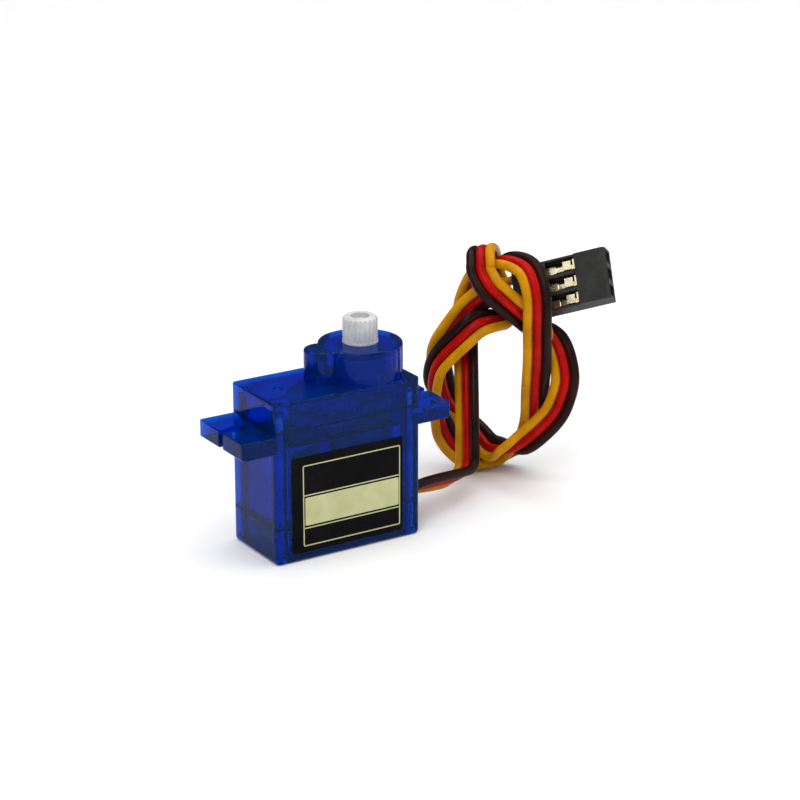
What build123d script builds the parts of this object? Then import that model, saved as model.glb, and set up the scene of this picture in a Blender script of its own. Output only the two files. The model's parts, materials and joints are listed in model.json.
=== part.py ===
"""Nine-gram hobby servo motor, as an assembly of separate pieces.

Millimetres, +Z up along the output shaft, +X towards the output end of the case, -Y the label face.
The origin is the centre of the case's underside. The motor, idler and output axes are all parallel
to Z and stand on the X axis, from -X to +X.
"""
from build123d import *
from math import acos, cos, pi, radians, sin, tan
import os

# ---------------------------------------------------------------- case
CASE_LENGTH = 22.6
CASE_WIDTH = 12.0
CASE_TOP = 22.8
WALL = 0.9
CORNER_RADIUS = 0.7
BOTTOM_SPLIT = 5.0
TOP_SPLIT = 18.7
FLOOR_THICKNESS = 1.1
BASE_ROUNDING = 0.6
DECK_BOTTOM = 16.2
DECK_TOP = 17.1
BOSS_TOP = 27.3
BOSS_RADIUS = 5.8
LOBE_RADIUS = 2.5
BOSS_ROOF = 1.2
BOSS_ROUNDING = 0.3
ROOF_ROUNDING = 0.2
LOBE_WALL = 0.55
DIMPLE_X = -7.4

EAR_SPAN = 32.5
EAR_BOTTOM = 16.0
EAR_THICKNESS = 2.4
EAR_HOLE_PITCH = 27.8
EAR_HOLE_RADIUS = 1.1
EAR_SLIT = 1.2

# ---------------------------------------------------------------- shaft axes
AXIS_SPACING = 6.0
OUTPUT_X = 5.45
IDLER_X = OUTPUT_X - AXIS_SPACING
MOTOR_X = IDLER_X - AXIS_SPACING

# ---------------------------------------------------------------- screws
SCREW_X = 10.0
SCREW_Y = 4.7
SCREW_RADIUS = 0.6
SCREW_PILOT_RADIUS = 0.5
SCREW_CLEARANCE_RADIUS = 0.66
SCREW_TIP = 21.2
SCREW_HEAD_RADIUS = 0.9
SCREW_HEAD_HEIGHT = 0.8
COLUMN_RADIUS = 1.05

# ---------------------------------------------------------------- gears
FINE_MODULE = 0.25
OUTPUT_MODULE = 0.3
PRESSURE_ANGLE = radians(25)
PINION_ADDENDUM = 0.9
WHEEL_ADDENDUM = 0.75
DEDENDUM = 1.2
BACKLASH = 0.05
FLANK_STEPS = 4
RUNNING_CLEARANCE = 0.05

MOTOR_PINION_TEETH = 10
WHEEL_1_TEETH = 38
PINION_1_TEETH = 12
WHEEL_2_TEETH = 36
PINION_2_TEETH = 10
WHEEL_3_TEETH = 38
PINION_3_TEETH = 10
OUTPUT_TEETH = 30

GEAR_1_BOTTOM = 17.6
WHEEL_1_TOP = 18.5
GEAR_1_TOP = 19.7
GEAR_2_BOTTOM = 18.75
WHEEL_2_TOP = 19.55
GEAR_2_TOP = 21.0
GEAR_3_BOTTOM = 19.85
WHEEL_3_TOP = 20.75
GEAR_3_TOP = 23.6
OUTPUT_BOTTOM = 21.3
OUTPUT_WHEEL_TOP = 23.3
OUTPUT_HUB_TOP = 25.7
OUTPUT_HUB_RADIUS = 3.3

IDLER_PIN_RADIUS = 0.5
IDLER_PIN_BOTTOM = 16.5
IDLER_PIN_TOP = 25.6
LOBE_CEILING = 24.0

# ---------------------------------------------------------------- output shaft
JOURNAL_RADIUS = 2.45
SPLINE_BOTTOM = 27.5
SHAFT_TOP = 30.9
SPLINE_TIP_RADIUS = 2.4
SPLINE_ROOT_RADIUS = 2.22
SPLINE_TEETH = 21
SPLINE_CHAMFER = 0.3
HORN_HOLE_RADIUS = 0.95
HORN_HOLE_DEPTH = 5.5
HORN_MOUTH_RADIUS = 1.3
HORN_MOUTH_DEPTH = 0.7

# ---------------------------------------------------------------- motor
CAN_RADIUS = 4.6
CAN_FLAT = 3.75
CAN_WALL = 0.4
CAN_BOTTOM = 5.6
CAN_ROOF = 0.5
NECK_RADIUS = 1.5
NECK_TOP = 16.9
END_CAP_BOTTOM = 4.4
SPIGOT_TOP = 6.2
MOTOR_SHAFT_RADIUS = 0.5
MOTOR_SHAFT_TOP = 19.3
MOTOR_BORE_RADIUS = 0.54
BEARING_RADIUS = 1.1
ARMATURE_RADIUS = 3.05
ARMATURE_BOTTOM = 8.8
ARMATURE_TOP = 13.6
POLES = 3
ARM_WIDTH = 0.9
COIL_WIDTH = 2.1
COIL_LENGTH = 2.3
COIL_OVERHANG = 0.5
COMMUTATOR_RADIUS = 0.95
COMMUTATOR_BOTTOM = 6.5
COMMUTATOR_TOP = 8.1
BRUSH_THICKNESS = 0.14
BRUSH_TOP = 7.8
MAGNET_BOTTOM = 8.0
MAGNET_TOP = 14.4
MAGNET_HALF_WIDTH = 2.6

# ---------------------------------------------------------------- potentiometer
POT_RADIUS = 4.2
POT_WALL = 0.5
POT_BOTTOM = 12.0
POT_BOARD_TOP = 12.6
POT_SHAFT_RADIUS = 0.9
GEAR_2_JOURNAL_RADIUS = 0.75
POT_KEY_FLAT = 0.42
POT_KEY_TOP = 22.7
POT_PIN_X = OUTPUT_X - 2.9
POT_PIN_SPACING = 2.5

# ---------------------------------------------------------------- control board
BOARD_BOTTOM = 2.4
BOARD_TOP = 3.2
BOARD_LENGTH = 19.2
BOARD_WIDTH = 7.0

# ---------------------------------------------------------------- label
LABEL_LEFT = -8.9
LABEL_RIGHT = 8.4
LABEL_BOTTOM = 1.3
LABEL_TOP = 14.9
LABEL_THICKNESS = 0.08

# ---------------------------------------------------------------- lead
WIRE_DIAMETER = 1.36
LEAD_Z = 4.3
NOTCH_WIDTH = 4.3
NOTCH_BOTTOM = 3.55
STUB_START = 8.9
CONDUCTOR_RADIUS = 0.3
LEAD_TUBE_DIAMETER = 2.3

# The free lead from the outlet to where it joins the bundle: centreline points.
LEAD_ROUTE = [
    (11.3, 0.0, 4.3),
    (14.6, 0.0, 4.3),
    (18.4, 0.5, 4.0),
    (22.2, 1.8, 3.3),
    (25.2, 3.3, 3.2),
    (25.6, 4.1, 7.0),
    (26.4, 5.3, 10.9),
    (27.0, 6.5, 14.0),
]
TURN_SHARE = 0.45

# The bundle stands on edge in a plane that is turned about Z and leans forward at its top.
BUNDLE_CENTRE = (32.2, 5.1, 17.62)
BUNDLE_TURN = -30.0
BUNDLE_LEAN = 10.0
BUNDLE_WIDTH = 21.5
BUNDLE_HEIGHT = 35.0
BUNDLE_THICKNESS = 8.0
BUNDLE_HOLE_WIDTH = 6.2
BUNDLE_HOLE_HEIGHT = 14.5
BUNDLE_HOLE_DROP = 4.5
BUNDLE_ROUNDING = 2.0

# ---------------------------------------------------------------- connector
PIN_PITCH = 2.54
PLUG_LENGTH = 14.0
PLUG_WIDTH = 7.7
PLUG_THICKNESS = 2.5
PLUG_END_BEVEL = 0.4
PLUG_BORE = 1.7
PLUG_SUNK_START = 4.2
PLUG_SUNK_DEPTH = 0.25
PLUG_WINDOW_START = 5.0
PLUG_WINDOW_END = 9.4
PLUG_WINDOW_WIDTH = 2.0
CONTACT_SIZE = 1.5
CONTACT_BORE = 1.1
SLEEVE_START = 9.0
SLEEVE_END = 13.1
SLEEVE_FLOOR = 0.5
SHOULDER_START = 7.5
SHOULDER_END = 8.7
SHOULDER_WIDTH = 1.3
SHOULDER_HEIGHT = 1.4
NECK_START = 4.9
NECK_END = 9.1
NECK_WIDTH = 0.7
NECK_HEIGHT = 0.3
CRIMP_START = 3.8
CRIMP_END = 6.2
CRIMP_WIDTH = 1.2
CRIMP_HEIGHT = 0.5
PLUG_REAR = (34.1, 4.2, 27.8)
PLUG_AXIS = (0.647, -0.694, 0.305)
PLUG_FACE_NORMAL = (-0.718, -0.431, 0.543)


def block(length, width, bottom, top, corner=0.0):
    """A box about the Z axis, from bottom to top, with rounded upright corners."""
    outline = RectangleRounded(length, width, corner) if corner else Rectangle(length, width)
    return Pos(0, 0, bottom) * extrude(outline, top - bottom)


def post(x, y, radius, bottom, top):
    """An upright cylinder at (x, y), from bottom to top."""
    return Pos(x, y, (bottom + top) / 2) * Cylinder(radius, top - bottom)


def bar(x0, x1, y0, y1, z0, z1):
    """A box given by its limits."""
    return Pos((x0 + x1) / 2, (y0 + y1) / 2, (z0 + z1) / 2) * Box(x1 - x0, y1 - y0, z1 - z0)


def corner_points():
    return [(sx * SCREW_X, sy * SCREW_Y) for sx in (-1, 1) for sy in (-1, 1)]


def corner_posts(radius, bottom, top):
    posts = [post(x, y, radius, bottom, top) for x, y in corner_points()]
    return Part() + posts


def case_block(bottom, top):
    return block(CASE_LENGTH, CASE_WIDTH, bottom, top, CORNER_RADIUS)


def cavity(bottom, top):
    """The room inside the walls, less the four screw columns."""
    room = block(CASE_LENGTH - 2 * WALL, CASE_WIDTH - 2 * WALL, bottom, top, 0.3)
    return room - corner_posts(COLUMN_RADIUS, bottom, top)


# ================================================================ case pieces
def bottom_cover():
    shell = case_block(0, BOTTOM_SPLIT)
    shell = fillet(shell.edges().group_by(Axis.Z)[0], BASE_ROUNDING)
    shell -= cavity(FLOOR_THICKNESS, BOTTOM_SPLIT)
    shell -= corner_posts(SCREW_CLEARANCE_RADIUS, 0, BOTTOM_SPLIT)
    shell -= corner_posts(SCREW_HEAD_RADIUS + 0.05, 0, SCREW_HEAD_HEIGHT)
    for x in (-8.0, 7.0):
        shell += bar(x, x + 1.0, -BOARD_WIDTH / 2, BOARD_WIDTH / 2, FLOOR_THICKNESS, BOARD_BOTTOM)
    wall_inside = CASE_LENGTH / 2 - 2 * WALL
    half_notch = NOTCH_WIDTH / 2
    shell -= bar(wall_inside, CASE_LENGTH / 2 + 1, -half_notch, half_notch, NOTCH_BOTTOM, BOTTOM_SPLIT)
    return shell


def ear_hole(side):
    """The mounting hole and the slit that opens it to the ear's end."""
    x = side * EAR_HOLE_PITCH / 2
    end = side * (EAR_SPAN / 2 + 1)
    low, high = sorted((x, end))
    half_slit = EAR_SLIT / 2
    ear_top = EAR_BOTTOM + EAR_THICKNESS
    hole = post(x, 0, EAR_HOLE_RADIUS, EAR_BOTTOM - 1, ear_top + 1)
    return hole + bar(low, high, -half_slit, half_slit, EAR_BOTTOM - 1, ear_top + 1)


def middle_case():
    ears = block(EAR_SPAN, CASE_WIDTH, EAR_BOTTOM, EAR_BOTTOM + EAR_THICKNESS, 0.35)
    ears = chamfer(ears.edges().group_by(Axis.Z)[-1] + ears.edges().group_by(Axis.Z)[0], 0.12)
    shell = case_block(BOTTOM_SPLIT, TOP_SPLIT) + ears
    shell -= cavity(BOTTOM_SPLIT, DECK_BOTTOM)
    shell -= cavity(DECK_TOP, TOP_SPLIT)
    shell += bar(-2.3, -1.6, -CASE_WIDTH / 2 + WALL, CASE_WIDTH / 2 - WALL, 7.0, DECK_BOTTOM)
    shell += post(IDLER_X, 0, 1.0, DECK_TOP, GEAR_1_BOTTOM - 0.1)
    shell -= corner_posts(SCREW_CLEARANCE_RADIUS, BOTTOM_SPLIT, TOP_SPLIT)
    shell -= post(MOTOR_X, 0, NECK_RADIUS, DECK_BOTTOM, DECK_TOP)
    shell -= post(OUTPUT_X, 0, POT_SHAFT_RADIUS + RUNNING_CLEARANCE, DECK_BOTTOM, DECK_TOP)
    shell -= post(IDLER_X, 0, IDLER_PIN_RADIUS, IDLER_PIN_BOTTOM, GEAR_1_BOTTOM)
    for side in (-1, 1):
        shell -= ear_hole(side)
    return shell


def tower(x, radius):
    """A round-topped cylinder that rises from inside the case roof."""
    cylinder = post(x, 0, radius, CASE_TOP - WALL, BOSS_TOP)
    return fillet(cylinder.edges().group_by(Axis.Z)[-1], BOSS_ROUNDING)


def top_cover():
    shell = case_block(TOP_SPLIT, CASE_TOP)
    shell = fillet(shell.edges().group_by(Axis.Z)[-1], ROOF_ROUNDING)
    shell += tower(OUTPUT_X, BOSS_RADIUS)
    shell += tower(IDLER_X, LOBE_RADIUS)
    roof_inside = CASE_TOP - WALL
    rooms = cavity(TOP_SPLIT, roof_inside)
    rooms += post(OUTPUT_X, 0, BOSS_RADIUS - WALL, roof_inside - 1, BOSS_TOP - BOSS_ROOF)
    rooms += post(IDLER_X, 0, LOBE_RADIUS - LOBE_WALL, roof_inside - 1, LOBE_CEILING)
    shell -= rooms
    shell -= post(IDLER_X, 0, IDLER_PIN_RADIUS, LOBE_CEILING - 0.5, IDLER_PIN_TOP)
    shell -= post(OUTPUT_X, 0, JOURNAL_RADIUS + RUNNING_CLEARANCE, BOSS_TOP - 2, BOSS_TOP + 1)
    for x, y in corner_points():
        shell -= post(x, y, SCREW_PILOT_RADIUS, TOP_SPLIT - 0.5, SCREW_TIP + 0.2)
    return shell - Pos(DIMPLE_X, 0, CASE_TOP + 0.35) * Sphere(0.8)


def case_screws():
    """Four pan-head self-tapping screws, driven up from below, each with a cross recess."""
    group = []
    for x, y in corner_points():
        screw = post(x, y, SCREW_RADIUS, SCREW_HEAD_HEIGHT, SCREW_TIP - 0.6)
        screw += Pos(x, y, SCREW_TIP - 0.3) * Cone(SCREW_RADIUS, 0.15, 0.6)
        head = post(x, y, SCREW_HEAD_RADIUS, 0.1, SCREW_HEAD_HEIGHT)
        head = fillet(head.edges().group_by(Axis.Z)[0], 0.25)
        for length, width in ((1.1, 0.22), (0.22, 1.1)):
            head -= Pos(x, y, 0.25) * Box(length, width, 0.5)
        group.append(screw + head)
    return group


def front_label():
    width = LABEL_RIGHT - LABEL_LEFT
    height = LABEL_TOP - LABEL_BOTTOM
    centre = Pos((LABEL_LEFT + LABEL_RIGHT) / 2, -CASE_WIDTH / 2, (LABEL_BOTTOM + LABEL_TOP) / 2)
    sticker = extrude(RectangleRounded(width, height, 0.3), LABEL_THICKNESS)
    return centre * Rot(90, 0, 0) * sticker


# ================================================================ gears
def involute(angle):
    return tan(angle) - angle


def tooth_half_angle(radius, teeth, module):
    """Half the angle that a tooth covers at this radius, thinned for backlash and undercut."""
    pitch_radius = module * teeth / 2
    base_radius = pitch_radius * cos(PRESSURE_ANGLE)
    half = pi / (2 * teeth) - BACKLASH / (2 * pitch_radius) + involute(PRESSURE_ANGLE)
    if radius >= base_radius:
        return half - involute(acos(base_radius / radius))
    return half - 0.5 * (base_radius - radius) / pitch_radius


def gear(teeth, module, addendum, bottom, top, first_tooth):
    """A spur gear about Z whose first tooth is centred at the angle first_tooth."""
    pitch_radius = module * teeth / 2
    root = pitch_radius - DEDENDUM * module
    tip = pitch_radius + addendum * module
    radii = [root + (tip - root) * step / FLANK_STEPS for step in range(FLANK_STEPS + 1)]
    points = []
    for tooth in range(teeth):
        centre = first_tooth + 2 * pi * tooth / teeth
        for side, order in ((-1, radii), (1, radii[::-1])):
            for radius in order:
                angle = centre + side * tooth_half_angle(radius, teeth, module)
                points.append((radius * cos(angle), radius * sin(angle)))
    outline = make_face(Polyline(*points, close=True))
    return Pos(0, 0, bottom) * extrude(outline, top - bottom)


def gap_facing(angle, teeth):
    """The first tooth's angle that puts the gap between two teeth at this angle."""
    return angle + pi / teeth


def motor_pinion():
    teeth = gear(MOTOR_PINION_TEETH, FINE_MODULE, PINION_ADDENDUM, 17.4, 19.0, 0.0)
    teeth -= post(0, 0, MOTOR_SHAFT_RADIUS, 17, 20)
    return Pos(MOTOR_X, 0, 0) * teeth


def web_recess(outer, inner, bottom, top):
    """A ring-shaped recess that leaves a moulded gear's rim and hub proud of its web."""
    return post(0, 0, outer, bottom, top) - post(0, 0, inner, bottom, top)


def reduction_gear_1():
    first = gap_facing(pi, WHEEL_1_TEETH)
    wheel = gear(WHEEL_1_TEETH, FINE_MODULE, WHEEL_ADDENDUM, GEAR_1_BOTTOM, WHEEL_1_TOP, first)
    wheel -= web_recess(3.7, 1.9, WHEEL_1_TOP - 0.3, WHEEL_1_TOP)
    pinion = gear(PINION_1_TEETH, FINE_MODULE, PINION_ADDENDUM, WHEEL_1_TOP, GEAR_1_TOP, 0.0)
    bore = post(0, 0, IDLER_PIN_RADIUS + RUNNING_CLEARANCE, GEAR_1_BOTTOM, GEAR_1_TOP)
    return Pos(IDLER_X, 0, 0) * (wheel + pinion - bore)


def reduction_gear_2():
    first = gap_facing(pi, WHEEL_2_TEETH)
    wheel = gear(WHEEL_2_TEETH, FINE_MODULE, WHEEL_ADDENDUM, GEAR_2_BOTTOM, WHEEL_2_TOP, first)
    wheel -= web_recess(3.5, 1.8, WHEEL_2_TOP - 0.3, WHEEL_2_TOP)
    pinion = gear(PINION_2_TEETH, FINE_MODULE, PINION_ADDENDUM, WHEEL_2_TOP, GEAR_2_TOP, pi)
    bore = post(0, 0, GEAR_2_JOURNAL_RADIUS + RUNNING_CLEARANCE, GEAR_2_BOTTOM, GEAR_2_TOP)
    return Pos(OUTPUT_X, 0, 0) * (wheel + pinion - bore)


def reduction_gear_3():
    first = gap_facing(0.0, WHEEL_3_TEETH)
    wheel = gear(WHEEL_3_TEETH, FINE_MODULE, WHEEL_ADDENDUM, GEAR_3_BOTTOM, WHEEL_3_TOP, first)
    wheel -= web_recess(3.7, 2.1, WHEEL_3_TOP - 0.3, WHEEL_3_TOP)
    pinion = gear(PINION_3_TEETH, OUTPUT_MODULE, PINION_ADDENDUM, WHEEL_3_TOP, GEAR_3_TOP, 0.0)
    bore = post(0, 0, IDLER_PIN_RADIUS + RUNNING_CLEARANCE, GEAR_3_BOTTOM, GEAR_3_TOP)
    return Pos(IDLER_X, 0, 0) * (wheel + pinion - bore)


def splined_end():
    """The serrated end that a servo horn presses onto, chamfered at its rim."""
    points = []
    for step in range(2 * SPLINE_TEETH):
        angle = pi * step / SPLINE_TEETH
        radius = SPLINE_TIP_RADIUS if step % 2 else SPLINE_ROOT_RADIUS
        flank = 0.3 * pi / SPLINE_TEETH
        for shift in (-flank, flank):
            points.append((radius * cos(angle + shift), radius * sin(angle + shift)))
    teeth = extrude(make_face(Polyline(*points, close=True)), SHAFT_TOP - SPLINE_BOTTOM)
    blank = post(0, 0, SPLINE_TIP_RADIUS + 0.1, 0, SHAFT_TOP - SPLINE_BOTTOM)
    blank = chamfer(blank.edges().group_by(Axis.Z)[-1], SPLINE_CHAMFER + 0.1)
    return Pos(0, 0, SPLINE_BOTTOM) * (teeth & blank)


def key_outline(radius):
    """The D-shaped section that keys the output gear to the potentiometer shaft."""
    return Circle(radius) - Pos(POT_KEY_FLAT + radius, 0) * Rectangle(2 * radius, 4 * radius)


def output_gear():
    first = gap_facing(pi, OUTPUT_TEETH)
    piece = gear(OUTPUT_TEETH, OUTPUT_MODULE, WHEEL_ADDENDUM, OUTPUT_BOTTOM, OUTPUT_WHEEL_TOP, first)
    piece += post(0, 0, OUTPUT_HUB_RADIUS, OUTPUT_WHEEL_TOP, OUTPUT_HUB_TOP)
    piece += post(0, 0, JOURNAL_RADIUS, OUTPUT_HUB_TOP, SPLINE_BOTTOM)
    piece += splined_end()
    piece -= post(0, 0, HORN_HOLE_RADIUS, SHAFT_TOP - HORN_HOLE_DEPTH, SHAFT_TOP)
    piece -= post(0, 0, HORN_MOUTH_RADIUS, SHAFT_TOP - HORN_MOUTH_DEPTH, SHAFT_TOP)
    key_depth = POT_KEY_TOP - OUTPUT_BOTTOM
    piece -= Pos(0, 0, OUTPUT_BOTTOM) * extrude(key_outline(GEAR_2_JOURNAL_RADIUS), key_depth)
    return Pos(OUTPUT_X, 0, 0) * piece


def idler_pin():
    pin = post(IDLER_X, 0, IDLER_PIN_RADIUS, IDLER_PIN_BOTTOM, IDLER_PIN_TOP)
    return chamfer(pin.edges().filter_by(GeomType.CIRCLE), 0.1)


# ================================================================ motor
def can_outline(radius, flat):
    return Circle(radius) & Rectangle(2 * flat, 3 * radius)


def can_slice(radius, flat, bottom, top):
    return Pos(MOTOR_X, 0, bottom) * extrude(can_outline(radius, flat), top - bottom)


def motor_can():
    roof = DECK_BOTTOM - CAN_ROOF
    can = can_slice(CAN_RADIUS, CAN_FLAT, CAN_BOTTOM, DECK_BOTTOM)
    can -= can_slice(CAN_RADIUS - CAN_WALL, CAN_FLAT - CAN_WALL, CAN_BOTTOM, roof)
    can += post(MOTOR_X, 0, NECK_RADIUS, DECK_BOTTOM, NECK_TOP)
    return can - post(MOTOR_X, 0, BEARING_RADIUS, roof, NECK_TOP)


def motor_bearing():
    bush = post(MOTOR_X, 0, BEARING_RADIUS, DECK_BOTTOM - CAN_ROOF, NECK_TOP)
    return bush - post(MOTOR_X, 0, MOTOR_BORE_RADIUS, CAN_BOTTOM, NECK_TOP)


def motor_magnets():
    """Two arc magnets on the can's round sides."""
    ring = post(MOTOR_X, 0, CAN_RADIUS - CAN_WALL, MAGNET_BOTTOM, MAGNET_TOP)
    ring -= post(MOTOR_X, 0, ARMATURE_RADIUS + 0.25, MAGNET_BOTTOM, MAGNET_TOP)
    low = MOTOR_X - MAGNET_HALF_WIDTH
    high = MOTOR_X + MAGNET_HALF_WIDTH
    arcs = []
    for y in (-CAN_RADIUS - 1, 1):
        arcs.append(ring & bar(low, high, y, y + CAN_RADIUS, MAGNET_BOTTOM, MAGNET_TOP))
    return arcs


def motor_end_cap():
    cap = can_slice(CAN_RADIUS, CAN_FLAT, END_CAP_BOTTOM, CAN_BOTTOM)
    cap += can_slice(CAN_RADIUS - CAN_WALL, CAN_FLAT - CAN_WALL, CAN_BOTTOM, SPIGOT_TOP)
    cap += post(MOTOR_X, 0, 1.4, END_CAP_BOTTOM - 0.4, END_CAP_BOTTOM)
    return cap - post(MOTOR_X, 0, MOTOR_BORE_RADIUS, END_CAP_BOTTOM, SPIGOT_TOP)


def motor_brushes():
    """A sprung metal strip on each side of the commutator."""
    strips = []
    for side in (-1, 1):
        near = MOTOR_X + side * (COMMUTATOR_RADIUS + 0.1)
        low, high = sorted((near, near + side * BRUSH_THICKNESS))
        strips.append(bar(low, high, -1.3, 1.3, SPIGOT_TOP, BRUSH_TOP))
    return strips


def motor_terminals():
    """Two tin-plated tabs under the end cap, standing on the control board."""
    tabs = []
    for side in (-1, 1):
        x = MOTOR_X + side * 2.6
        tab = bar(x - 0.15, x + 0.15, -0.7, 0.7, BOARD_TOP, END_CAP_BOTTOM)
        tabs.append(tab)
    return tabs


def motor_shaft():
    shaft = post(MOTOR_X, 0, MOTOR_SHAFT_RADIUS, END_CAP_BOTTOM + 0.1, MOTOR_SHAFT_TOP)
    return chamfer(shaft.edges().filter_by(GeomType.CIRCLE), 0.1)


def pole_arm(angle, width, length, bottom, top):
    arm = bar(0, length, -width / 2, width / 2, bottom, top)
    return Pos(MOTOR_X, 0, 0) * Rot(0, 0, angle) * arm


def pole_angles():
    return [360 / POLES * pole + 60 for pole in range(POLES)]


def armature_core():
    """Three T-shaped poles on a hub, one lamination stack."""
    disc = post(MOTOR_X, 0, ARMATURE_RADIUS, ARMATURE_BOTTOM, ARMATURE_TOP)
    core = post(MOTOR_X, 0, 1.1, ARMATURE_BOTTOM, ARMATURE_TOP)
    rim = disc - post(MOTOR_X, 0, ARMATURE_RADIUS - 0.5, ARMATURE_BOTTOM, ARMATURE_TOP)
    for angle in pole_angles():
        gap_angle = angle + 180 / POLES
        core += pole_arm(angle, ARM_WIDTH, ARMATURE_RADIUS - 0.3, ARMATURE_BOTTOM, ARMATURE_TOP)
        rim -= pole_arm(gap_angle, 0.8, ARMATURE_RADIUS + 1, ARMATURE_BOTTOM, ARMATURE_TOP)
    core += rim
    return core - post(MOTOR_X, 0, MOTOR_SHAFT_RADIUS, ARMATURE_BOTTOM, ARMATURE_TOP)


def armature_windings():
    """One coil round each pole arm."""
    bottom = ARMATURE_BOTTOM - COIL_OVERHANG
    top = ARMATURE_TOP + COIL_OVERHANG
    coils = []
    for angle in pole_angles():
        coil = pole_arm(angle, COIL_WIDTH, COIL_LENGTH, bottom, top)
        coil -= pole_arm(angle, ARM_WIDTH, ARMATURE_RADIUS, ARMATURE_BOTTOM, ARMATURE_TOP)
        coil -= post(MOTOR_X, 0, 1.5, bottom - 1, top + 1)
        coils.append(coil)
    return coils


def commutator():
    """A drum whose upper part is slotted into three segments."""
    drum = post(MOTOR_X, 0, COMMUTATOR_RADIUS, COMMUTATOR_BOTTOM, COMMUTATOR_TOP)
    drum -= post(MOTOR_X, 0, MOTOR_SHAFT_RADIUS, COMMUTATOR_BOTTOM, COMMUTATOR_TOP)
    core = post(MOTOR_X, 0, 0.75, COMMUTATOR_BOTTOM, COMMUTATOR_TOP + 1)
    for angle in pole_angles():
        drum -= pole_arm(angle, 0.15, 2, COMMUTATOR_BOTTOM + 0.4, COMMUTATOR_TOP + 1) - core
    return drum


# ================================================================ potentiometer
def pot_body():
    cup = post(OUTPUT_X, 0, POT_RADIUS, POT_BOARD_TOP, DECK_BOTTOM)
    cup -= post(OUTPUT_X, 0, POT_RADIUS - POT_WALL, POT_BOARD_TOP, DECK_BOTTOM - POT_WALL)
    return cup - post(OUTPUT_X, 0, POT_SHAFT_RADIUS + RUNNING_CLEARANCE, POT_BOARD_TOP, DECK_BOTTOM)


def pot_board():
    board = post(OUTPUT_X, 0, POT_RADIUS, POT_BOTTOM, POT_BOARD_TOP)
    for row in (-1, 0, 1):
        board -= post(POT_PIN_X, row * POT_PIN_SPACING, 0.25, POT_BOTTOM, POT_BOARD_TOP)
    return board


def pot_resistor():
    """The carbon track, open towards the terminals."""
    ring = post(OUTPUT_X, 0, 3.3, POT_BOARD_TOP, POT_BOARD_TOP + 0.06)
    ring -= post(OUTPUT_X, 0, 2.4, POT_BOARD_TOP, POT_BOARD_TOP + 0.06)
    return ring - bar(OUTPUT_X - 4, OUTPUT_X - 1.6, -3, 3, POT_BOTTOM, POT_BOARD_TOP + 1)


def pot_terminals():
    return [
        post(POT_PIN_X, row * POT_PIN_SPACING, 0.25, POT_BOTTOM - 1.2, POT_BOARD_TOP)
        for row in (-1, 0, 1)
    ]


def pot_leads():
    """Three insulated wires from the potentiometer's pins down to the control board."""
    return [
        post(POT_PIN_X, row * POT_PIN_SPACING, 0.4, BOARD_TOP, POT_BOTTOM - 1.2)
        for row in (-1, 0, 1)
    ]


def pot_shaft():
    shaft = post(OUTPUT_X, 0, POT_SHAFT_RADIUS, POT_BOARD_TOP + 0.2, GEAR_2_BOTTOM - 0.05)
    shaft += post(OUTPUT_X, 0, GEAR_2_JOURNAL_RADIUS, GEAR_2_BOTTOM - 0.05, OUTPUT_BOTTOM)
    key = extrude(key_outline(GEAR_2_JOURNAL_RADIUS), POT_KEY_TOP - OUTPUT_BOTTOM)
    return shaft + Pos(OUTPUT_X, 0, OUTPUT_BOTTOM) * key


def pot_wiper():
    """A sprung disc with one contact finger that runs on the track."""
    disc = post(OUTPUT_X, 0, 1.9, 13.5, 13.7)
    disc += bar(OUTPUT_X + 1.5, OUTPUT_X + 3.1, -0.5, 0.5, 13.5, 13.7)
    disc += bar(OUTPUT_X + 2.9, OUTPUT_X + 3.1, -0.5, 0.5, POT_BOARD_TOP + 0.1, 13.7)
    return disc - post(OUTPUT_X, 0, POT_SHAFT_RADIUS, 13, 14)


# ================================================================ electronics
def control_board():
    return block(BOARD_LENGTH, BOARD_WIDTH, BOARD_BOTTOM, BOARD_TOP, 0.3)


def controller_chip():
    body = bar(-4.2, 0.8, -2.0, 2.0, 1.35, BOARD_BOTTOM - 0.1)
    return chamfer(body.edges().group_by(Axis.Z)[0], 0.15)


def chip_leads():
    leads = []
    for pin in range(4):
        x = -3.6 + 1.27 * pin
        for side in (-1, 1):
            low, high = sorted((side * 2.0, side * 2.8))
            leads.append(bar(x - 0.2, x + 0.2, low, high, BOARD_BOTTOM - 0.35, BOARD_BOTTOM))
    return leads


def board_components():
    capacitor = post(5.9, 0.6, 1.5, BOARD_TOP, BOARD_TOP + 3.6)
    capacitor = fillet(capacitor.edges().group_by(Axis.Z)[-1], 0.3)
    parts = [capacitor]
    for x, y in ((-0.6, -2.2), (-0.6, 2.2), (1.0, -1.0), (1.0, 1.2)):
        parts.append(bar(x - 0.4, x + 0.4, y - 0.65, y + 0.65, BOARD_TOP, BOARD_TOP + 0.5))
    parts.append(bar(4.1, 6.9, -3.2, -1.6, BOARD_TOP, BOARD_TOP + 1.2))
    return parts


# ================================================================ lead and connector
def wire_rows():
    return [-WIRE_DIAMETER, 0.0, WIRE_DIAMETER]


def lying_wire(x0, x1, y, radius):
    """A straight wire along X at the lead's height."""
    return Pos((x0 + x1) / 2, y, LEAD_Z) * Rot(0, 90, 0) * Cylinder(radius, x1 - x0)


def lead_stub():
    """The three insulated wires side by side, from the board's end out to the case wall."""
    radius = WIRE_DIAMETER / 2 - 0.005
    return [lying_wire(STUB_START, CASE_LENGTH / 2, y, radius) for y in wire_rows()]


def lead_conductors():
    """The bare ends of the wires, turned down onto the board."""
    x = STUB_START - 0.35
    ends = []
    for y in wire_rows():
        end = lying_wire(x, STUB_START, y, CONDUCTOR_RADIUS)
        end += Pos(x, y, LEAD_Z) * Sphere(CONDUCTOR_RADIUS)
        end += post(x, y, CONDUCTOR_RADIUS, BOARD_TOP, LEAD_Z)
        ends.append(end)
    return ends


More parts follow.
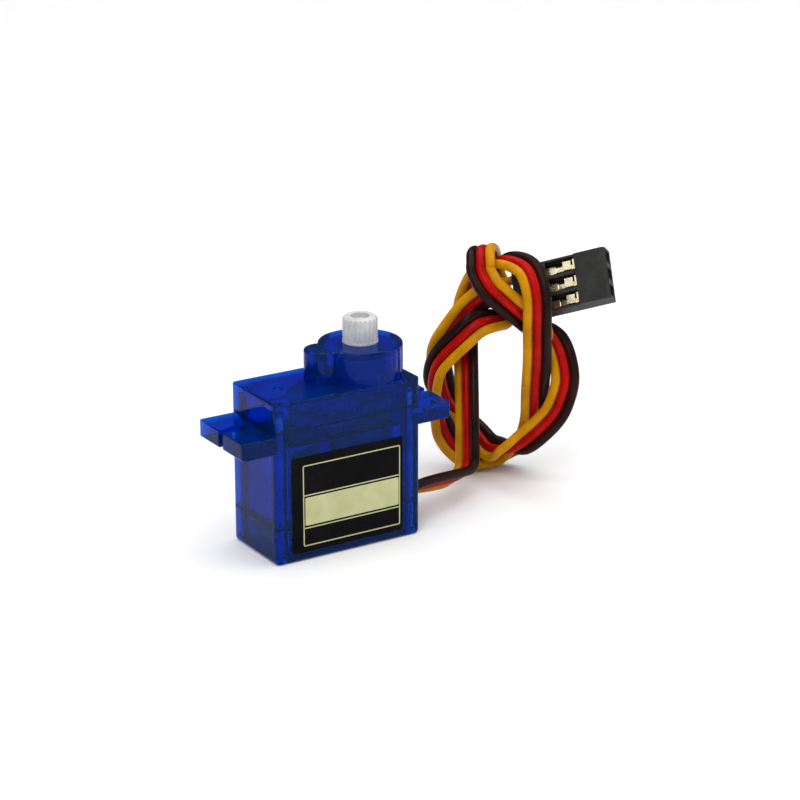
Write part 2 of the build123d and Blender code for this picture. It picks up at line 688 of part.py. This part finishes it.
def route_radii(points):
    """The largest tangent arc that each corner of the route allows."""
    spots = [Vector(*point) for point in points]
    radii = []
    for before, at, after in zip(spots, spots[1:], spots[2:]):
        into, out = at - before, after - at
        turn = radians(into.get_angle(out))
        radii.append(TURN_SHARE * min(into.length, out.length) / tan(turn / 2))
    return radii


def lead_tube():
    radii = route_radii(LEAD_ROUTE)
    path = FilletPolyline(*LEAD_ROUTE, radius=radii)
    profile = Plane(path @ 0, z_dir=path % 0) * Circle(LEAD_TUBE_DIAMETER / 2)
    tube = sweep(profile, path=path)
    section = pi * LEAD_TUBE_DIAMETER ** 2 / 4
    print("lead tube: radii", [round(radius, 2) for radius in radii])
    print("lead tube: length", round(path.length, 2))
    print("lead tube: volume over section times length", round(tube.volume / (section * path.length), 4))
    return tube


def lead_bundle():
    """The outer shape of the folded and looped stretch of the lead, standing on edge."""
    ring = extrude(Ellipse(BUNDLE_WIDTH / 2, BUNDLE_HEIGHT / 2), BUNDLE_THICKNESS / 2, both=True)
    hole = extrude(Ellipse(BUNDLE_HOLE_WIDTH / 2, BUNDLE_HOLE_HEIGHT / 2), BUNDLE_THICKNESS, both=True)
    ring = fillet(ring.edges(), BUNDLE_ROUNDING)
    ring -= Pos(0, -BUNDLE_HOLE_DROP, 0) * hole
    return Pos(*BUNDLE_CENTRE) * Rot(0, 0, BUNDLE_TURN) * Rot(90 + BUNDLE_LEAN, 0, 0) * ring


def plug_plane():
    """The connector's own frame: X along it to its mating end, Z out of the window face."""
    return Plane(origin=PLUG_REAR, x_dir=PLUG_AXIS, z_dir=PLUG_FACE_NORMAL)


def plug_rows():
    return [-PIN_PITCH, 0.0, PIN_PITCH]


def along_plug(start, end, width, height, y=0.0, z=0.0):
    """A box between two distances from the connector's wire end."""
    return Pos((start + end) / 2, y, z) * Box(end - start, width, height)


def connector_housing():
    """Black shell: a smooth mating end, a sunk middle with a window over each contact."""
    body = along_plug(0, PLUG_LENGTH, PLUG_WIDTH, PLUG_THICKNESS)
    mating_edge = body.faces().sort_by(Axis.X)[-1].edges().sort_by(Axis.Z)[-1]
    body = chamfer(mating_edge, PLUG_END_BEVEL)
    face = PLUG_THICKNESS / 2
    body -= along_plug(PLUG_SUNK_START, PLUG_WINDOW_END, PLUG_WIDTH + 1, 2 * PLUG_SUNK_DEPTH, z=face)
    for y in plug_rows():
        body -= along_plug(-1, PLUG_LENGTH + 1, PLUG_BORE, PLUG_BORE, y)
        body -= along_plug(PLUG_WINDOW_START, PLUG_WINDOW_END, PLUG_WINDOW_WIDTH, PLUG_THICKNESS, y, face)
    return plug_plane() * body


def connector_contacts():
    """Three female crimp contacts: a box at the mating end, a neck, wings at the wire end."""
    contacts = []
    for y in plug_rows():
        sleeve = along_plug(SLEEVE_START, SLEEVE_END, CONTACT_SIZE, CONTACT_SIZE, y)
        sleeve -= along_plug(SLEEVE_START + SLEEVE_FLOOR, PLUG_LENGTH, CONTACT_BORE, CONTACT_BORE, y)
        shoulder = along_plug(SHOULDER_START, SHOULDER_END, SHOULDER_WIDTH, SHOULDER_HEIGHT, y, -0.05)
        neck = along_plug(NECK_START, NECK_END, NECK_WIDTH, NECK_HEIGHT, y, -0.5)
        crimp = along_plug(CRIMP_START, CRIMP_END, CRIMP_WIDTH, CRIMP_HEIGHT, y, -0.45)
        contacts.append(plug_plane() * (sleeve + shoulder + neck + crimp))
    return contacts


PIECES = {
    "top_cover": top_cover,
    "middle_case": middle_case,
    "bottom_cover": bottom_cover,
    "case_screws": case_screws,
    "front_label": front_label,
    "output_gear": output_gear,
    "reduction_gear_3": reduction_gear_3,
    "reduction_gear_2": reduction_gear_2,
    "reduction_gear_1": reduction_gear_1,
    "idler_pin": idler_pin,
    "motor_pinion": motor_pinion,
    "motor_shaft": motor_shaft,
    "motor_can": motor_can,
    "motor_bearing": motor_bearing,
    "motor_magnets": motor_magnets,
    "motor_end_cap": motor_end_cap,
    "motor_brushes": motor_brushes,
    "motor_terminals": motor_terminals,
    "armature_core": armature_core,
    "armature_windings": armature_windings,
    "commutator": commutator,
    "pot_body": pot_body,
    "pot_board": pot_board,
    "pot_resistor": pot_resistor,
    "pot_terminals": pot_terminals,
    "pot_leads": pot_leads,
    "pot_shaft": pot_shaft,
    "pot_wiper": pot_wiper,
    "control_board": control_board,
    "controller_chip": controller_chip,
    "chip_leads": chip_leads,
    "board_components": board_components,
    "lead_stub": lead_stub,
    "lead_conductors": lead_conductors,
    "lead_tube": lead_tube,
    "lead_bundle": lead_bundle,
    "connector_housing": connector_housing,
    "connector_contacts": connector_contacts,
}


def main():
    os.makedirs("parts", exist_ok=True)
    for name, make in PIECES.items():
        piece = make()
        if isinstance(piece, list):
            piece = Compound(children=piece)
        piece.label = name
        export_step(piece, f"parts/{name}.step")


main()
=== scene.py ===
"""Looks for the hobby servo motor: camera, lead, label print, materials, light and floor."""
import bpy
import bmesh
import json
import math
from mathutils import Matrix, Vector


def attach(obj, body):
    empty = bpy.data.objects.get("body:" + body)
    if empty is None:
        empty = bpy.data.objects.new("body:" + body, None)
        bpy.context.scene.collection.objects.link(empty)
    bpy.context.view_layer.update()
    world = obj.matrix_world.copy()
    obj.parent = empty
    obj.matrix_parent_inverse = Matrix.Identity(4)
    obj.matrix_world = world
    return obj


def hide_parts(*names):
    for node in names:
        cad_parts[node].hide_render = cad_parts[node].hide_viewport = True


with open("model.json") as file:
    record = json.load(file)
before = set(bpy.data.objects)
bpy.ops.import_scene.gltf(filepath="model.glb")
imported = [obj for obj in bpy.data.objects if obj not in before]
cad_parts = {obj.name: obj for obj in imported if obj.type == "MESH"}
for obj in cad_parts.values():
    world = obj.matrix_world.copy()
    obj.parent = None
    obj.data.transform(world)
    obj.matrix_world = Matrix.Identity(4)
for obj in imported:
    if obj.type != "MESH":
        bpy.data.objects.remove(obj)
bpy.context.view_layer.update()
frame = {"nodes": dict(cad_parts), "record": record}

MM = 0.001

# ---------------------------------------------------------------- camera
CAMERA_PLACE = Vector((-164.4, -278.9, 133.8))
CAMERA_AIM = Vector((10.0, -2.9, 18.8))
CAMERA_LENS = 114.2

camera_data = bpy.data.cameras.new("camera")
camera_data.sensor_width = 36.0
camera_data.lens = CAMERA_LENS
camera_data.clip_start = 0.01
camera = bpy.data.objects.new("camera", camera_data)
bpy.context.scene.collection.objects.link(camera)
camera.location = CAMERA_PLACE * MM
aim = CAMERA_AIM * MM
camera.rotation_euler = (aim - camera.location).to_track_quat("-Z", "Y").to_euler()
bpy.context.scene.camera = camera


# ---------------------------------------------------------------- small helpers
def add_mesh(name, bm, materials, smooth=True):
    mesh = bpy.data.meshes.new(name)
    bm.normal_update()
    bm.to_mesh(mesh)
    bm.free()
    for polygon in mesh.polygons:
        polygon.use_smooth = smooth
    for material in materials:
        mesh.materials.append(material)
    piece = bpy.data.objects.new(name, mesh)
    bpy.context.scene.collection.objects.link(piece)
    return piece


def nurbs_points(name, points, steps):
    """Points read along the smooth NURBS line that has these control points."""
    curve = bpy.data.curves.new(name, "CURVE")
    curve.dimensions = "3D"
    curve.resolution_u = steps
    spline = curve.splines.new("NURBS")
    spline.points.add(len(points) - 1)
    for spot, point in zip(spline.points, points):
        spot.co = (*point, 1.0)
    spline.order_u = 3
    spline.use_endpoint_u = True
    holder = bpy.data.objects.new(name, curve)
    bpy.context.scene.collection.objects.link(holder)
    bpy.context.view_layer.update()
    line = bpy.data.meshes.new_from_object(holder)
    spots = [vertex.co.copy() for vertex in line.vertices]
    bpy.data.objects.remove(holder)
    bpy.data.curves.remove(curve)
    bpy.data.meshes.remove(line)
    return spots


# ---------------------------------------------------------------- materials
def new_material(name):
    material = bpy.data.materials.new(name)
    material.use_nodes = True
    nodes = material.node_tree.nodes
    return material, nodes, material.node_tree.links, nodes["Principled BSDF"]


def noise(nodes, links, coords, scale, detail, stretch=(1, 1, 1)):
    mapping = nodes.new("ShaderNodeMapping")
    mapping.inputs["Scale"].default_value = stretch
    links.new(coords.outputs["Object"], mapping.inputs["Vector"])
    texture = nodes.new("ShaderNodeTexNoise")
    texture.inputs["Scale"].default_value = scale
    texture.inputs["Detail"].default_value = detail
    links.new(mapping.outputs["Vector"], texture.inputs["Vector"])
    return texture


def colour_ramp(nodes, links, source, low, high, start=0.35, end=0.65):
    ramp = nodes.new("ShaderNodeValToRGB")
    ramp.color_ramp.elements[0].position = start
    ramp.color_ramp.elements[0].color = (*low, 1)
    ramp.color_ramp.elements[1].position = end
    ramp.color_ramp.elements[1].color = (*high, 1)
    links.new(source, ramp.inputs["Fac"])
    return ramp


def value_range(nodes, links, source, low, high):
    span = nodes.new("ShaderNodeMapRange")
    span.inputs["From Min"].default_value = 0.3
    span.inputs["From Max"].default_value = 0.7
    span.inputs["To Min"].default_value = low
    span.inputs["To Max"].default_value = high
    links.new(source, span.inputs["Value"])
    return span


def bump(nodes, links, source, strength, distance):
    node = nodes.new("ShaderNodeBump")
    node.inputs["Strength"].default_value = strength
    node.inputs["Distance"].default_value = distance
    links.new(source, node.inputs["Height"])
    return node


RELIEF_HEIGHT = 0.00003


def surface(name, low, high, roughness, metallic=0.0, patch=400.0, grain=6000.0, depth=0.3,
            stretch=(1, 1, 1), **fixed):
    """A material with slow colour and roughness changes and a fine bump, all in real size."""
    material, nodes, links, shader = new_material(name)
    coords = nodes.new("ShaderNodeTexCoord")
    slow = noise(nodes, links, coords, patch, 3.0)
    fine = noise(nodes, links, coords, grain, 5.0, stretch)
    ramp = colour_ramp(nodes, links, slow.outputs["Fac"], low, high)
    links.new(ramp.outputs["Color"], shader.inputs["Base Color"])
    rough = value_range(nodes, links, fine.outputs["Fac"], *roughness)
    links.new(rough.outputs["Result"], shader.inputs["Roughness"])
    relief = bump(nodes, links, fine.outputs["Fac"], depth, RELIEF_HEIGHT)
    links.new(relief.outputs["Normal"], shader.inputs["Normal"])
    shader.inputs["Metallic"].default_value = metallic
    for socket, value in fixed.items():
        shader.inputs[socket.replace("_", " ")].default_value = value
    return material


def tint_by_thickness(material, colour, density):
    """Thick plastic looks darker than thin: absorption inside the solid, per metre."""
    absorption = material.node_tree.nodes.new("ShaderNodeVolumeAbsorption")
    absorption.inputs["Color"].default_value = (*colour, 1)
    absorption.inputs["Density"].default_value = density
    output = material.node_tree.nodes["Material Output"]
    material.node_tree.links.new(absorption.outputs["Volume"], output.inputs["Volume"])


case_blue = surface("case_blue", (0.001, 0.120, 0.60), (0.002, 0.170, 0.74), (0.03, 0.08),
                    patch=180.0, grain=900.0, depth=0.08, Transmission_Weight=0.92, IOR=1.19,
                    Specular_IOR_Level=0.05)
tint_by_thickness(case_blue, (0.0, 0.40, 0.82), 900.0)
nylon = surface("nylon", (0.50, 0.51, 0.51), (0.60, 0.61, 0.61), (0.38, 0.52),
                patch=500.0, grain=5000.0, depth=0.15, Subsurface_Weight=0.2,
                Subsurface_Scale=0.001, Specular_IOR_Level=0.3)
label_black = surface("label_black", (0.0022, 0.0020, 0.0026), (0.004, 0.0036, 0.0045),
                      (0.24, 0.36), patch=300.0, grain=2500.0, depth=0.10,
                      Specular_IOR_Level=0.04)
label_cream = surface("label_cream", (0.45, 0.455, 0.235), (0.51, 0.515, 0.28), (0.35, 0.5),
                      patch=350.0, grain=3500.0, depth=0.12, Specular_IOR_Level=0.15)
zinc = surface("zinc", (0.50, 0.50, 0.52), (0.70, 0.70, 0.72), (0.22, 0.42), 1.0, 1500.0)
steel = surface("steel", (0.62, 0.62, 0.64), (0.78, 0.78, 0.80), (0.14, 0.28), 1.0, 900.0,
                stretch=(1, 1, 12))
can_nickel = surface("can_nickel", (0.55, 0.56, 0.58), (0.74, 0.75, 0.77), (0.18, 0.34), 1.0,
                     500.0, stretch=(1, 1, 10))
bronze = surface("bronze", (0.50, 0.30, 0.13), (0.68, 0.44, 0.22), (0.32, 0.5), 1.0, 1200.0)
ferrite = surface("ferrite", (0.03, 0.03, 0.032), (0.06, 0.06, 0.064), (0.5, 0.7), 0.0, 900.0)
black_plastic = surface("black_plastic", (0.012, 0.012, 0.0115), (0.022, 0.022, 0.021),
                        (0.40, 0.55), patch=700.0, grain=9000.0, depth=0.35,
                        Specular_IOR_Level=0.2)
pot_plastic = surface("pot_plastic", (0.60, 0.58, 0.50), (0.72, 0.70, 0.62), (0.4, 0.55))
phenolic = surface("phenolic", (0.28, 0.13, 0.05), (0.42, 0.22, 0.10), (0.45, 0.6), 0.0, 1500.0)
tinned = surface("tinned", (0.62, 0.62, 0.62), (0.80, 0.80, 0.79), (0.25, 0.45), 1.0, 1500.0)
board_green = surface("board_green", (0.008, 0.085, 0.035), (0.018, 0.14, 0.06), (0.25, 0.4),
                      patch=900.0, grain=4000.0, Coat_Weight=0.3)
component_tan = surface("component_tan", (0.35, 0.24, 0.12), (0.55, 0.42, 0.24), (0.35, 0.5),
                        0.0, 1800.0)
copper = surface("copper", (0.55, 0.20, 0.07), (0.75, 0.33, 0.14), (0.2, 0.38), 1.0, 1500.0,
                 stretch=(1, 1, 0.1))
brass = surface("brass", (0.65, 0.45, 0.16), (0.80, 0.60, 0.27), (0.2, 0.34), 1.0, 1500.0)
gold = surface("gold", (0.88, 0.76, 0.48), (0.96, 0.88, 0.66), (0.16, 0.30), 1.0, 1500.0)
wire_brown = surface("wire_brown", (0.012, 0.0035, 0.0028), (0.022, 0.007, 0.005), (0.28, 0.42),
                     patch=350.0, grain=3500.0, depth=0.22, Specular_IOR_Level=0.09)
wire_red = surface("wire_red", (0.30, 0.0015, 0.001), (0.43, 0.004, 0.002), (0.28, 0.42),
                   patch=350.0, grain=3500.0, depth=0.22, Specular_IOR_Level=0.09)
wire_yellow = surface("wire_yellow", (0.45, 0.185, 0.001), (0.58, 0.26, 0.002), (0.28, 0.42),
                      patch=350.0, grain=3500.0, depth=0.22, Specular_IOR_Level=0.09)

SLOT_MATERIALS = {
    "case_plastic": case_blue,
    "white_nylon": nylon,
    "label_film": label_black,
    "zinc_steel": zinc,
    "polished_steel": steel,
    "can_steel": can_nickel,
    "bronze": bronze,
    "ferrite": ferrite,
    "black_plastic": black_plastic,
    "pot_plastic": pot_plastic,
    "phenolic": phenolic,
    "tinned_metal": tinned,
    "board_green": board_green,
    "component_tan": component_tan,
    "copper": copper,
    "brass": brass,
    "gold_plate": gold,
    "wire_brown": wire_brown,
    "wire_red": wire_red,
    "wire_yellow": wire_yellow,
}

for part in frame["record"]["subparts"]:
    node = frame["nodes"][part["node"]]
    material = SLOT_MATERIALS[part["material_slot"]]
    if not node.material_slots:
        node.data.materials.append(material)
    for material_slot in node.material_slots:
        material_slot.material = material

# ---------------------------------------------------------------- lead
ROUTE_STEPS = 8
SIDE_REACH = 10
WIRE_RADIUS = 0.69
WIRE_PITCH = 1.36
CONNECTOR_PITCH = 2.54
FAN_START = 9.0
FAN_END = 3.5
RING_SIDES = 18

# From the control board out through the case wall: (x, y, z), then the direction from the
# middle wire to the brown one.
OUTLET_ROUTE = [
    ((8.9, 0.0, 4.3), (0.0, -1.0, 0.0)),
    ((11.3, 0.0, 4.3), (0.0, -1.0, 0.1)),
    ((14.5, 0.0, 4.3), (0.0, -0.8, 0.6)),
    ((18.0, 0.5, 4.0), (0.0, -0.7, 0.7)),
    ((21.5, 1.5, 3.5), (0.2, -0.7, 0.7)),
]

# The folded and looped stretch, in the bundle's own upright plane: right, up and back from its
# middle, then the direction from the middle wire to the brown one in the same terms.
BUNDLE_MIDDLE = Vector((32.2, 5.1, 17.6))
BUNDLE_TURN = math.radians(-30)
BUNDLE_LEAN = math.radians(10)
BUNDLE_ROUTE = [
    # the fold, and the first rise
    ((-5.0, -13.0, -7.5), (0.8, 0.4, -0.5)),
    ((-5.0, -10.0, -6.0), (0.7, 0.3, -0.6)),
    ((-5.0, -7.0, -4.5), (0.7, 0.3, -0.6)),
    ((-5.0, -3.5, -2.5), (0.7, 0.3, -0.6)),
    ((-5.0, 0.0, 0.0), (0.7, 0.3, -0.6)),
    ((-5.0, 3.0, 3.5), (0.8, 0.3, -0.5)),
    ((-5.0, 6.5, 4.5), (0.9, 0.1, -0.4)),
    ((-4.0, 10.0, 4.5), (0.9, -0.4, -0.1)),
    ((-3.0, 13.0, 3.5), (0.9, -0.4, 0.2)),
    # over the top and down the front
    ((-1.3, 15.1, 2.5), (0.7, -0.2, 0.7)),
    ((0.2, 16.6, 0.5), (0.6, 0.1, 0.8)),
    ((2.2, 17.0, -1.5), (0.8, 0.3, 0.5)),
    ((3.6, 16.1, -2.6), (1.0, 0.1, 0.2)),
    ((4.5, 13.0, -4.4), (1.0, 0.0, 0.0)),
    ((4.5, 8.5, -4.8), (1.0, 0.0, 0.0)),
    ((4.8, 3.0, -3.9), (1.0, 0.0, 0.0)),
    ((4.8, -3.5, -2.1), (1.0, 0.0, 0.0)),
    ((5.0, -9.0, -1.0), (1.0, 0.0, 0.2)),
    # the lowest turn, on the floor
    ((3.5, -14.0, 1.0), (0.8, -0.2, 0.6)),
    ((1.5, -16.5, 2.0), (0.6, -0.1, 0.8)),
    ((-1.5, -17.0, 2.0), (0.4, 0.0, 0.9)),
    ((-4.0, -16.5, 1.5), (0.4, 0.0, 0.9)),
    ((-6.0, -14.5, 0.5), (0.5, 0.3, 0.8)),
    ((-7.8, -11.5, 0.0), (0.8, 0.3, 0.5)),
    # up the side nearest the case
    ((-8.7, -8.5, -0.5), (0.6, -0.2, 0.8)),
    ((-9.6, -5.0, -1.0), (0.1, -0.5, 0.9)),
    ((-10.0, -2.0, -1.5), (-0.4, -0.5, 0.8)),
    ((-9.6, 1.0, -2.0), (-0.6, -0.1, 0.8)),
    ((-8.2, 3.4, -2.5), (-0.7, 0.2, 0.6)),
    ((-6.0, 6.0, -3.0), (-0.7, 0.4, 0.6)),
    ((-4.0, 8.0, -2.5), (-0.7, 0.5, 0.2)),
    ((-2.0, 8.0, -1.5), (-0.5, 0.4, 0.6)),
    # behind the plug end and up
    ((0.6, 6.5, 1.8), (-0.3, 0.0, 1.0)),
    ((0.2, 9.3, 6.0), (-0.5, 0.0, 0.8)),
    ((-1.0, 12.5, 7.0), (-0.6, 0.0, 0.8)),
    ((-2.0, 15.0, 6.0), (-0.8, -0.3, 0.5)),
    ((-2.5, 17.1, 3.0), (-0.9, -0.3, 0.4)),
    # over the top again and across the front
    ((-3.4, 18.1, 0.5), (-1.0, -0.3, 0.1)),
    ((-3.4, 17.1, -1.5), (-0.9, -0.3, -0.1)),
    ((-3.5, 16.1, -2.0), (-0.9, -0.4, -0.3)),
    ((-2.2, 14.1, -3.5), (-0.7, -0.6, -0.4)),
    ((-1.0, 13.0, -3.5), (-0.7, -0.7, -0.2)),
    ((0.5, 11.5, -3.3), (-0.7, -0.7, 0.0)),
    ((2.5, 9.6, -3.1), (-0.6, -0.8, 0.1)),
    ((4.5, 7.3, -2.6), (-0.2, -0.9, 0.4)),
    # round the far side
    ((6.5, 5.9, -1.4), (0.4, -0.1, 0.9)),
    ((7.6, 4.4, -1.5), (0.9, 0.3, 0.4)),
    ((8.5, 2.4, -1.5), (1.0, 0.2, 0.1)),
    ((9.1, -0.5, -3.2), (1.0, 0.0, 0.0)),
    ((8.6, -3.0, -3.8), (1.0, -0.3, -0.2)),
    ((7.7, -5.5, -4.3), (0.8, -0.5, -0.3)),
    ((6.0, -8.0, -4.0), (0.6, -0.7, -0.4)),
    ((3.5, -10.5, -4.0), (0.4, -0.9, -0.2)),
    ((1.5, -12.0, -3.5), (0.1, -0.8, 0.7)),
    ((0.0, -13.0, -2.0), (-0.1, 0.0, 1.0)),
    ((-1.5, -14.0, 0.5), (0.0, 0.5, 0.9)),
    ((-3.0, -13.0, 3.0), (0.3, 0.4, 0.8)),
    # up behind the first rise to the plug
    ((-4.5, -12.0, 5.0), (0.5, 0.1, 0.9)),
    ((-6.0, -10.5, 5.5), (0.7, 0.0, 0.7)),
    ((-7.0, -9.0, 5.0), (0.9, -0.2, 0.5)),
    ((-8.0, -6.0, 4.0), (0.8, -0.3, 0.5)),
    ((-8.5, -2.5, 3.0), (0.6, -0.5, 0.6)),
    ((-9.0, 0.5, 2.0), (0.5, -0.6, 0.6)),
    ((-8.5, 3.5, 1.0), (0.5, -0.7, 0.4)),
    ((-6.5, 6.5, 1.0), (0.4, -0.9, 0.3)),
    ((-4.5, 9.5, 0.5), (0.4, -0.8, 0.2)),
    ((-2.5, 11.0, 0.5), (0.4, -0.9, 0.0)),
    ((-1.2, 11.5, 0.9), (0.2, -0.9, -0.4)),
    ((0.2, 10.2, 2.0), (0.1, -0.7, -0.7)),
]

PLUG_REAR = Vector((34.1, 4.2, 27.8))
PLUG_AXIS = Vector((0.647, -0.694, 0.305)).normalized()
PLUG_ROW = Vector((-0.247, -0.573, -0.783)).normalized()
PLUG_CRIMP = 4.5

right = Vector((math.cos(BUNDLE_TURN), math.sin(BUNDLE_TURN), 0))
back_flat = Vector((-right.y, right.x, 0))
up = -back_flat * math.sin(BUNDLE_LEAN) + Vector((0, 0, math.cos(BUNDLE_LEAN)))
back = back_flat * math.cos(BUNDLE_LEAN) + Vector((0, 0, math.sin(BUNDLE_LEAN)))


def in_bundle(spot):
    return right * spot[0] + up * spot[1] + back * spot[2]


route = [Vector(spot) for spot, _ in OUTLET_ROUTE]
route += [BUNDLE_MIDDLE + in_bundle(spot) for spot, _ in BUNDLE_ROUTE]
route += [PLUG_REAR, PLUG_REAR + PLUG_AXIS * PLUG_CRIMP]
to_brown = [Vector(direction).normalized() for _, direction in OUTLET_ROUTE]
to_brown += [in_bundle(direction).normalized() for _, direction in BUNDLE_ROUTE]
to_brown += [PLUG_ROW, PLUG_ROW]

beside = [spot + SIDE_REACH * direction for spot, direction in zip(route, to_brown)]
line = nurbs_points("lead_route", route, ROUTE_STEPS)
side_line = nurbs_points("lead_sides", beside, ROUTE_STEPS)

lengths = [0.0]
for a, b in zip(line, line[1:]):
    lengths.append(lengths[-1] + (b - a).length)
lead_length = lengths[-1]

frames = []
for i, spot in enumerate(line):
    tangent = (line[min(i + 1, len(line) - 1)] - line[max(i - 1, 0)]).normalized()
    side = side_line[i] - spot
    side = (side - tangent * side.dot(tangent)).normalized()
    left = lead_length - lengths[i]
    fan = min(max((FAN_START - left) / (FAN_START - FAN_END), 0.0), 1.0)
    pitch = WIRE_PITCH + (CONNECTOR_PITCH - WIRE_PITCH) * fan * fan * (3 - 2 * fan)
    frames.append((spot, tangent, side, pitch))

bm = bmesh.new()
for wire, row in enumerate((-1, 0, 1)):
    rings = []
    for spot, tangent, side, pitch in frames:
        centre = spot + side * pitch * row
        out = side.cross(tangent)
        ring = []
        for k in range(RING_SIDES):
            angle = 2 * math.pi * k / RING_SIDES
            offset = side * math.cos(angle) + out * math.sin(angle)
            ring.append(bm.verts.new((centre + offset * WIRE_RADIUS) * MM))
        rings.append(ring)
    for first, second in zip(rings, rings[1:]):
        for k in range(RING_SIDES):
            after = (k + 1) % RING_SIDES
            face = bm.faces.new((first[k], first[after], second[after], second[k]))
            face.material_index = wire
    for ring in (rings[0][::-1], rings[-1]):
        cap = bm.faces.new(ring)
        cap.material_index = wire
bmesh.ops.recalc_face_normals(bm, faces=bm.faces)
lead = add_mesh("lead_wires", bm, [wire_yellow, wire_red, wire_brown])
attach(lead, "case")
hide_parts("lead_tube", "lead_bundle", "lead_stub")
print("lead length in mm", round(lead_length, 1))

# ---------------------------------------------------------------- label print
LABEL_FACE_Y = -6.08
PRINT_THICKNESS = 0.012
FRAME_LEFT = -7.28
FRAME_RIGHT = 8.0
FRAME_BOTTOM = 2.1
FRAME_TOP = 13.7
RULE = 0.16
RULE_HEIGHTS = (9.3, 4.63)
RULE_INSET = 0.05
PANEL_LEFT = -6.95
PANEL_RIGHT = 7.75
PANEL_BOTTOM = 5.05
PANEL_TOP = 9.05
PRINT_SINK = 0.005


def rounded_outline(x0, x1, z0, z1, radius):
    spots = []
    corners = ((x1, z1, 0), (x0, z1, 90), (x0, z0, 180), (x1, z0, 270))
    for x, z, start in corners:
        cx = x - radius if x == x1 else x + radius
        cz = z - radius if z == z1 else z + radius
        for step in range(5):
            angle = math.radians(start + step * 22.5)
            spots.append((cx + radius * math.cos(angle), cz + radius * math.sin(angle)))
    return spots


def print_patch(bm, outline, inner=None):
    """A thin raised film of ink, solid or with a window."""
    front_y = (LABEL_FACE_Y - PRINT_THICKNESS) * MM
    rear_y = (LABEL_FACE_Y + PRINT_SINK) * MM
    front = [bm.verts.new((x * MM, front_y, z * MM)) for x, z in outline]
    rear = [bm.verts.new((x * MM, rear_y, z * MM)) for x, z in outline]
    count = len(outline)
    for k in range(count):
        bm.faces.new((front[k], front[(k + 1) % count], rear[(k + 1) % count], rear[k]))
    if inner is None:
        bm.faces.new(front)
        return
    hole = [bm.verts.new((x * MM, front_y, z * MM)) for x, z in inner]
    deep = [bm.verts.new((x * MM, rear_y, z * MM)) for x, z in inner]
    for k in range(count):
        after = (k + 1) % count
        bm.faces.new((front[k], front[after], hole[after], hole[k]))
        bm.faces.new((hole[k], hole[after], deep[after], deep[k]))


bm = bmesh.new()
print_patch(bm, rounded_outline(FRAME_LEFT, FRAME_RIGHT, FRAME_BOTTOM, FRAME_TOP, 0.25),
            rounded_outline(FRAME_LEFT + RULE, FRAME_RIGHT - RULE, FRAME_BOTTOM + RULE,
                            FRAME_TOP - RULE, 0.15))
for z in RULE_HEIGHTS:
    print_patch(bm, rounded_outline(FRAME_LEFT + RULE_INSET, FRAME_RIGHT - RULE_INSET, z, z + RULE, 0.02))
print_patch(bm, rounded_outline(PANEL_LEFT, PANEL_RIGHT, PANEL_BOTTOM, PANEL_TOP, 0.2))
bmesh.ops.recalc_face_normals(bm, faces=bm.faces)
artwork = add_mesh("label_print", bm, [label_cream], smooth=False)
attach(artwork, "case")

# ---------------------------------------------------------------- floor and light
FLOOR_SIZE = 1.2
FLOOR_DROP = 0.00002
BACKDROP_DIM = 0.09
BACKDROP_BRIGHT = 1.0

bm = bmesh.new()
bmesh.ops.create_grid(bm, x_segments=2, y_segments=2, size=FLOOR_SIZE)
floor_white = surface("floor_white", (0.90, 0.90, 0.90), (0.93, 0.93, 0.93), (0.6, 0.75),
                      patch=8.0, grain=300.0, depth=0.02)
floor = add_mesh("floor", bm, [floor_white], smooth=False)
floor.location = (0, 0, -FLOOR_DROP)


def soft_light(name, place, target, size, power):
    data = bpy.data.lights.new(name, "AREA")
    data.size = size
    data.energy = power
    light = bpy.data.objects.new(name, data)
    light.location = place
    direction = Vector(target) - Vector(place)
    light.rotation_euler = direction.to_track_quat("-Z", "Y").to_euler()
    bpy.context.scene.collection.objects.link(light)


soft_light("overhead", (0.05, 0.05, 1.2), (0.01, 0.02, 0.0), 2.0, 26.5)
soft_light("key", (-0.45, -0.45, 0.45), (0.01, 0, 0.015), 0.40, 2.6)
soft_light("fill", (0.50, -0.35, 0.30), (0.01, 0, 0.015), 0.40, 0.9)

world = bpy.data.worlds.new("studio")
world.use_nodes = True
backdrop = world.node_tree.nodes["Background"]
backdrop.inputs["Color"].default_value = (1, 1, 1, 1)
# white where the camera sees it, dim where it would wash out the glossy plastic
seen = world.node_tree.nodes.new("ShaderNodeLightPath")
backdrop_strength = world.node_tree.nodes.new("ShaderNodeMapRange")
backdrop_strength.inputs["To Min"].default_value = BACKDROP_DIM
backdrop_strength.inputs["To Max"].default_value = BACKDROP_BRIGHT
world.node_tree.links.new(seen.outputs["Is Camera Ray"], backdrop_strength.inputs["Value"])
world.node_tree.links.new(backdrop_strength.outputs["Result"], backdrop.inputs["Strength"])
bpy.context.scene.world = world
bpy.context.scene.view_settings.view_transform = "Standard"
